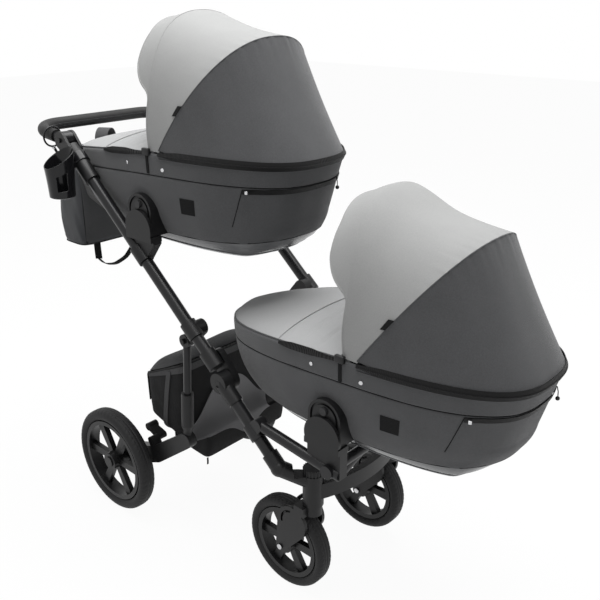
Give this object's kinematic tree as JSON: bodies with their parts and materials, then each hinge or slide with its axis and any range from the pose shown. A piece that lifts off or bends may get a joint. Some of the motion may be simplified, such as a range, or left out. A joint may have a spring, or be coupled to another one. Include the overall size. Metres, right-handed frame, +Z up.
{
  "type": "tandem twin pram",
  "caption": "Tandem pram: sloping black tube frame on spoked wheels, swivelling front casters, and carrycots with folding hoods mounted one above the other, with basket, bag and cup holder.",
  "frame": {"origin": "on the ground, in the middle between the rear wheels, straight below the rear axle", "axes": "+X forward, +Y to the pram's left, +Z up"},
  "size_m": [1.522, 0.5815, 1.3447],
  "materials": {
    "frame_black": "satin black coating",
    "frame_plastic": "moulded black plastic",
    "knob_plastic": "ribbed black plastic",
    "cup_gloss": "glossy black plastic",
    "rod_metal": "dark coated rod",
    "axle_steel": "plated steel",
    "tyre": "solid foam rubber",
    "rim_plastic": "moulded black plastic",
    "grip": "stitched dark leatherette",
    "basket_cloth": "black woven polyester",
    "bag_cloth": "dark grey woven cloth",
    "tub_cloth": "dark grey woven cloth",
    "hood_cloth": "dark grey woven cloth",
    "light_cloth": "light grey woven cloth",
    "cot_base": "silver-grey moulded tray",
    "mattress": "off-white cotton",
    "bracket": "moulded black plastic",
    "button": "dark grey plastic",
    "bow": "dark coated wire"
  },
  "bodies": {
    "chassis": {"main_tubes": "frame_black", "handle_sockets": "frame_plastic", "fold_knuckles": "frame_plastic", "leg_brackets": "frame_plastic", "leg_rods": "rod_metal", "upper_adaptors": "bracket", "cup_holder": "cup_gloss"},
    "rear_unit": {"leg_sleeves": "frame_plastic", "swing_arms": "frame_plastic", "rear_crossbar": "frame_black", "rear_axles": "axle_steel", "basket": "basket_cloth"},
    "lid": {"basket_lid": "basket_cloth"},
    "brake": {"brake_pedal": "frame_plastic"},
    "front_frame": {"front_tubes": "frame_black", "fold_plates": "frame_plastic", "caster_housings": "frame_plastic", "front_beam": "frame_plastic", "seat_rails": "frame_black", "rail_support": "frame_black", "lower_adaptors": "bracket"},
    "handle": {"handle_tube": "frame_black", "handle_grip": "grip"},
    "bag": {"changing_bag": "bag_cloth"},
    "rear_wheel_right": {"rear_tyre_right": "tyre", "rear_rim_right": "rim_plastic"},
    "rear_wheel_left": {"rear_tyre_left": "tyre", "rear_rim_left": "rim_plastic"},
    "knob_right": {"swivel_knob_right": "knob_plastic"},
    "caster_right": {"caster_fork_right": "frame_plastic"},
    "front_wheel_right": {"front_tyre_right": "tyre", "front_rim_right": "rim_plastic"},
    "knob_left": {"swivel_knob_left": "knob_plastic"},
    "caster_left": {"caster_fork_left": "frame_plastic"},
    "front_wheel_left": {"front_tyre_left": "tyre", "front_rim_left": "rim_plastic"},
    "upper_cot": {"upper_base": "cot_base", "upper_tub": "tub_cloth", "upper_mattress": "mattress", "upper_apron": "light_cloth", "upper_brackets": "bracket", "upper_hood_pivots": "bow"},
    "upper_hood": {"upper_mid_bow": "bow", "upper_hood_rear": "hood_cloth"},
    "upper_hood_tip": {"upper_front_bow": "bow", "upper_hood_front": "light_cloth"},
    "upper_button_right": {"upper_release_right": "button"},
    "upper_button_left": {"upper_release_left": "button"},
    "lower_cot": {"lower_base": "cot_base", "lower_tub": "tub_cloth", "lower_mattress": "mattress", "lower_apron": "light_cloth", "lower_brackets": "bracket", "lower_hood_pivots": "bow"},
    "lower_hood": {"lower_mid_bow": "bow", "lower_hood_rear": "hood_cloth"},
    "lower_hood_tip": {"lower_front_bow": "bow", "lower_hood_front": "light_cloth"},
    "lower_button_right": {"lower_release_right": "button"},
    "lower_button_left": {"lower_release_left": "button"}
  },
  "joints": [
    {"name": "rear_suspension", "type": "slide", "parent": "chassis", "child": "rear_unit", "axis": [0.0683, 0, 0.9977], "range_m": [0, 0.018], "stiffness_N_per_m": 9000, "springref_m": -0.004},
    {"name": "lid_hinge", "type": "hinge", "parent": "rear_unit", "child": "lid", "pos_m": [0.205, 0, 0.48], "axis": [0, 1, 0], "range_deg": [0, 65]},
    {"name": "brake_lever", "type": "hinge", "parent": "rear_unit", "child": "brake", "pos_m": [0.118, -0.17, 0.24], "axis": [0, 1, 0], "range_deg": [-18, 0]},
    {"name": "rear_wheel_right_spin", "type": "hinge", "parent": "rear_unit", "child": "rear_wheel_right", "pos_m": [0, -0.247, 0.15], "axis": [0, 1, 0], "continuous": true},
    {"name": "rear_wheel_left_spin", "type": "hinge", "parent": "rear_unit", "child": "rear_wheel_left", "pos_m": [0, 0.247, 0.15], "axis": [0, 1, 0], "continuous": true},
    {"name": "frame_fold", "type": "hinge", "parent": "chassis", "child": "front_frame", "pos_m": [0.42, 0, 0.524], "axis": [0, 1, 0], "range_deg": [0, 6]},
    {"name": "swivel_lock_right", "type": "hinge", "parent": "front_frame", "child": "knob_right", "pos_m": [0.656, -0.154, 0.35], "axis": [0, 0, 1], "range_deg": [0, 90]},
    {"name": "caster_right_swivel", "type": "hinge", "parent": "front_frame", "child": "caster_right", "pos_m": [0.656, -0.154, 0.25], "axis": [0, 0, 1], "continuous": true},
    {"name": "front_wheel_right_spin", "type": "hinge", "parent": "caster_right", "child": "front_wheel_right", "pos_m": [0.582, -0.154, 0.12], "axis": [0, 1, 0], "continuous": true},
    {"name": "swivel_lock_left", "type": "hinge", "parent": "front_frame", "child": "knob_left", "pos_m": [0.656, 0.154, 0.35], "axis": [0, 0, 1], "range_deg": [0, 90]},
    {"name": "caster_left_swivel", "type": "hinge", "parent": "front_frame", "child": "caster_left", "pos_m": [0.656, 0.154, 0.25], "axis": [0, 0, 1], "continuous": true},
    {"name": "front_wheel_left_spin", "type": "hinge", "parent": "caster_left", "child": "front_wheel_left", "pos_m": [0.582, 0.154, 0.12], "axis": [0, 1, 0], "continuous": true},
    {"name": "handle_tilt", "type": "hinge", "parent": "chassis", "child": "handle", "pos_m": [-0.13836, 0, 1.03088], "axis": [0, 1, 0], "range_deg": [-20, 8]},
    {"name": "bag_swing", "type": "hinge", "parent": "handle", "child": "bag", "pos_m": [-0.20201, 0, 1.03757], "axis": [0, 1, 0], "range_deg": [-10, 22]},
    {"name": "upper_cot_lift", "type": "slide", "parent": "chassis", "child": "upper_cot", "axis": [0, 0, 1], "range_m": [0, 0.12]},
    {"name": "upper_hood_fold", "type": "hinge", "parent": "upper_cot", "child": "upper_hood", "pos_m": [0.225, 0, 1.04332], "axis": [0, 1, 0], "range_deg": [0, 44], "deforming": ["upper_hood_rear"]},
    {"name": "upper_hood_tip_fold", "type": "hinge", "parent": "upper_hood", "child": "upper_hood_tip", "pos_m": [0.225, 0, 1.04332], "axis": [0, 1, 0], "range_deg": [0, 37], "deforming": ["upper_hood_front"]},
    {"name": "upper_release_right_press", "type": "slide", "parent": "upper_cot", "child": "upper_button_right", "axis": [0, 1, 0], "range_m": [0, 0.004], "stiffness_N_per_m": 900, "springref_m": -0.002},
    {"name": "upper_release_left_press", "type": "slide", "parent": "upper_cot", "child": "upper_button_left", "axis": [0, -1, 0], "range_m": [0, 0.004], "stiffness_N_per_m": 900, "springref_m": -0.002},
    {"name": "lower_cot_lift", "type": "slide", "parent": "front_frame", "child": "lower_cot", "axis": [0, 0, 1], "range_m": [0, 0.06]},
    {"name": "lower_hood_fold", "type": "hinge", "parent": "lower_cot", "child": "lower_hood", "pos_m": [0.808, 0, 0.69832], "axis": [0, 1, 0], "range_deg": [0, 44], "deforming": ["lower_hood_rear"]},
    {"name": "lower_hood_tip_fold", "type": "hinge", "parent": "lower_hood", "child": "lower_hood_tip", "pos_m": [0.808, 0, 0.69832], "axis": [0, 1, 0], "range_deg": [0, 37], "deforming": ["lower_hood_front"]},
    {"name": "lower_release_right_press", "type": "slide", "parent": "lower_cot", "child": "lower_button_right", "axis": [0, 1, 0], "range_m": [0, 0.004], "stiffness_N_per_m": 900, "springref_m": -0.002},
    {"name": "lower_release_left_press", "type": "slide", "parent": "lower_cot", "child": "lower_button_left", "axis": [0, -1, 0], "range_m": [0, 0.004], "stiffness_N_per_m": 900, "springref_m": -0.002}
  ],
  "couplings": [
    {"joint": "bag_swing", "follows": "handle_tilt", "ratio": -1},
    {"joint": "upper_hood_tip_fold", "follows": "upper_hood_fold", "ratio": 0.84091},
    {"joint": "lower_hood_tip_fold", "follows": "lower_hood_fold", "ratio": 0.84091}
  ]
}
